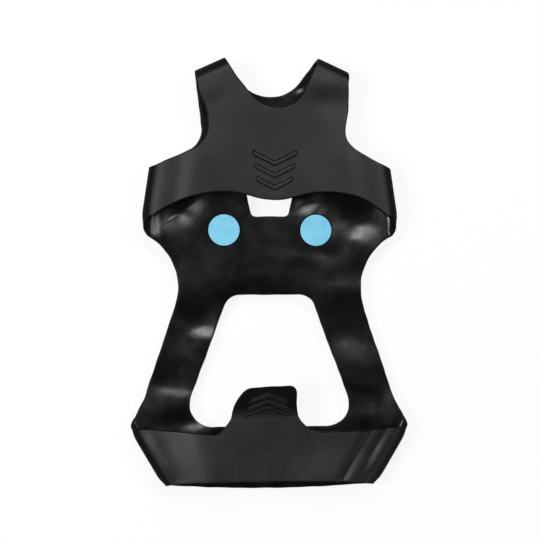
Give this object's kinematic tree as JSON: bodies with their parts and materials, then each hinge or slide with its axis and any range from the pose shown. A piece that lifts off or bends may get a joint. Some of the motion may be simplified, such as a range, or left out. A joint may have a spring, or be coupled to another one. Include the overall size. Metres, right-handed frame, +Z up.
{
  "type": "ice cleat",
  "caption": "Stretch-on rubber overshoe ice cleat with a lugged sole, spiked studs, an upper toe web with chevrons, elastic arms and a heel band with a pull tab.",
  "frame": {"origin": "centre of the bounding box in plan, at the level of the spike tips", "axes": "+Y from heel to toe, +X to the right of the foot, +Z up from the ground through the sole"},
  "size_m": [0.146, 0.22, 0.0174],
  "materials": {
    "outer_rubber": "satin black moulded elastomer",
    "inner_rubber": "glossier black moulded elastomer, from a polished mould half",
    "stud_polymer": "sky blue moulded polymer",
    "spike_steel": "bright hardened steel"
  },
  "bodies": {
    "forefoot": {"forefoot_sole": "inner_rubber", "forefoot_tread": "outer_rubber", "toe_fold_left": "outer_rubber", "toe_fold_right": "outer_rubber", "side_fold_left": "outer_rubber", "side_fold_right": "outer_rubber", "stud_disc_toe_left": "stud_polymer", "spike_toe_left": "spike_steel", "stud_backing_toe_left": "stud_polymer", "stud_disc_ball_left": "stud_polymer", "spike_ball_left": "spike_steel", "stud_backing_ball_left": "stud_polymer", "stud_disc_toe_right": "stud_polymer", "spike_toe_right": "spike_steel", "stud_backing_toe_right": "stud_polymer", "stud_disc_ball_right": "stud_polymer", "spike_ball_right": "spike_steel", "stud_backing_ball_right": "stud_polymer"},
    "toe_web": {"toe_web": "outer_rubber"},
    "bridge": {"arm_left": "inner_rubber", "arm_right": "inner_rubber"},
    "heel": {"heel_sole": "inner_rubber", "heel_tread": "outer_rubber", "heel_fold_left": "outer_rubber", "heel_fold_right": "outer_rubber", "stud_disc_heel_left": "stud_polymer", "spike_heel_left": "spike_steel", "stud_backing_heel_left": "stud_polymer", "stud_disc_heel_right": "stud_polymer", "spike_heel_right": "spike_steel", "stud_backing_heel_right": "stud_polymer"},
    "heel_band": {"heel_band": "outer_rubber"},
    "pull_tab": {"pull_tab": "outer_rubber"}
  },
  "joints": [
    {"name": "toe_web_lift", "type": "hinge", "parent": "forefoot", "child": "toe_web", "pos_m": [0, 0.1048, 0.0111], "axis": [-1, 0, 0], "range_deg": [0, 40], "stiffness_Nm_per_rad": 0.3, "deforming": ["toe_fold_left", "toe_fold_right", "side_fold_left", "side_fold_right"]},
    {"name": "arch_flex", "type": "hinge", "parent": "forefoot", "child": "bridge", "pos_m": [0, -0.01744, 0.0084], "axis": [-1, 0, 0], "range_deg": [0, 60], "stiffness_Nm_per_rad": 0.03},
    {"name": "heel_stretch", "type": "slide", "parent": "bridge", "child": "heel", "axis": [0, -1, 0], "range_m": [0, 0.03], "stiffness_N_per_m": 2000, "deforming": ["arm_left", "arm_right"]},
    {"name": "heel_band_swing", "type": "hinge", "parent": "heel", "child": "heel_band", "pos_m": [0, -0.1056, 0.0144], "axis": [1, 0, 0], "range_deg": [0, 80], "stiffness_Nm_per_rad": 0.1, "deforming": ["heel_fold_left", "heel_fold_right"]},
    {"name": "pull_tab_flex", "type": "hinge", "parent": "heel_band", "child": "pull_tab", "pos_m": [0, -0.0736, 0.0168], "axis": [1, 0, 0], "range_deg": [0, 75], "stiffness_Nm_per_rad": 0.02}
  ]
}
